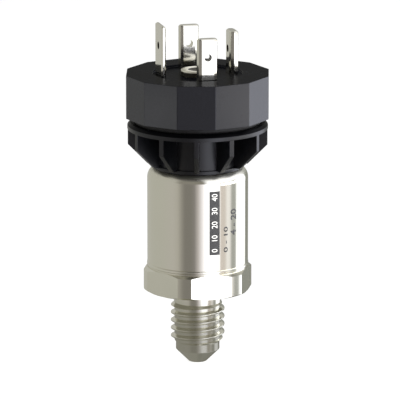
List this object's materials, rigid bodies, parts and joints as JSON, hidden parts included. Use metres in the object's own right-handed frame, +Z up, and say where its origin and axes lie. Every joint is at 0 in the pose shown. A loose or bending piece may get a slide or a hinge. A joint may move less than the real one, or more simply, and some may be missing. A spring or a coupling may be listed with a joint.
{
  "type": "pressure transmitter",
  "caption": "Pressure transmitter with a flared male process fitting, hexagon, steel can and a ribbed plug base with flat contact blades",
  "frame": {"origin": "centre of the fitting's tip face, the lowest point of the part", "axes": "+Z up the axis from the process fitting to the contact blades; the earth blade is at -X, the other blades are at +X, +Y and -Y"},
  "size_m": [0.0348, 0.0348, 0.0823],
  "materials": {
    "fitting_steel": "fine-turned stainless steel",
    "can_steel": "polished stainless steel with a laser-marked scale",
    "black_moulding": "moulded, semi-gloss",
    "black_cap": "moulded, glossy",
    "insert_metal": "turned and nickel-plated",
    "blade_metal": "stamped and nickel-plated",
    "seal_rubber": "matt",
    "cell_ceramic": "ground, matt",
    "ring_steel": "turned",
    "lead_metal": "tin-plated",
    "carrier_plastic": "moulded, matt",
    "board_laminate": "green solder mask",
    "chip_plastic": "moulded, matt",
    "capacitor_body": "matt",
    "vent_membrane": "matt"
  },
  "bodies": {
    "root": {"process_fitting": "fitting_steel", "housing_can": "can_steel", "connector_body": "black_moulding", "contact_carrier": "black_cap", "centre_insert": "insert_metal", "blade_1": "blade_metal", "blade_2": "blade_metal", "blade_3": "blade_metal", "blade_earth": "blade_metal", "cell_seal": "seal_rubber", "ceramic_cell": "cell_ceramic", "cell_ring": "ring_steel", "cell_pins": "lead_metal", "board_carrier": "carrier_plastic", "circuit_board": "board_laminate", "signal_chip": "chip_plastic", "regulator": "chip_plastic", "surge_diode": "chip_plastic", "capacitors": "capacitor_body", "resistors": "chip_plastic", "earth_spring": "lead_metal", "body_seal": "seal_rubber", "thrust_ring": "carrier_plastic", "vent_disc": "vent_membrane", "carrier_gasket": "seal_rubber", "blade_leads": "lead_metal"}
  },
  "joints": []
}
